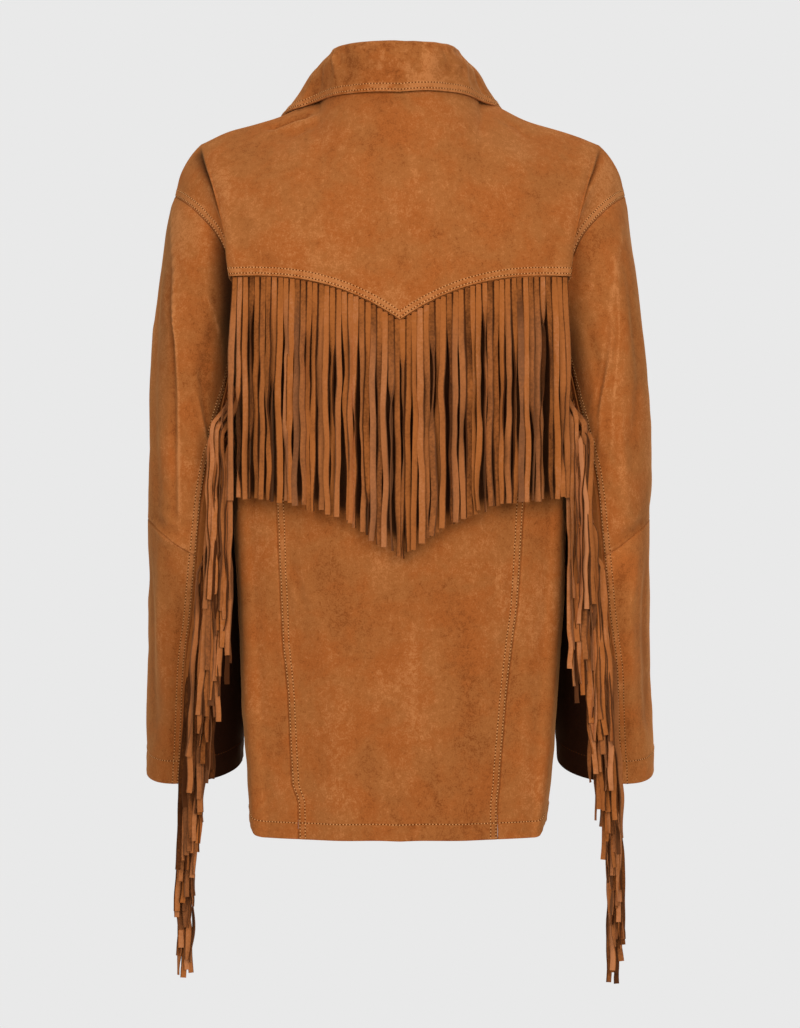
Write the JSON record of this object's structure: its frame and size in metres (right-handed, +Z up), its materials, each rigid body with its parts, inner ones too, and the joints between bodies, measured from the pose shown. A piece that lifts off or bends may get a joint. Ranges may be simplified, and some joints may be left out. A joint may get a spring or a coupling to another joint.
{
  "type": "fringed suede jacket",
  "caption": "Hip-length suede jacket, hollow and filled out as worn, with a folded collar, a pointed back yoke, buttoned front, long sleeves, and fringe under the yoke and down the sleeves.",
  "frame": {"origin": "the middle of the neck opening, level with the shoulder line, where the wearer's shoulders and neck hold the jacket", "axes": "+Z up, +Y out of the jacket's front, -Y out of its back, +X to the wearer's right"},
  "size_m": [0.512, 0.2533, 0.9324],
  "materials": {
    "suede": "tan brushed suede, matt, with a mottled nap",
    "fringe": "the same suede cut into strips, matt",
    "button": "dark brown, smooth, semi-matt"
  },
  "bodies": {
    "root": {"back_yoke": "suede", "back_centre": "suede", "back_side_left": "suede", "back_side_right": "suede", "front_left": "suede", "front_right": "suede", "sleeve_upper_left": "suede", "sleeve_upper_right": "suede", "sleeve_lower_left": "suede", "sleeve_lower_right": "suede", "undersleeve_left": "suede", "undersleeve_right": "suede", "collar": "suede", "button_1": "button", "button_2": "button", "button_3": "button", "button_4": "button", "button_5": "button", "yoke_fringe": "fringe", "sleeve_fringe_left": "fringe", "sleeve_fringe_right": "fringe"}
  },
  "joints": []
}
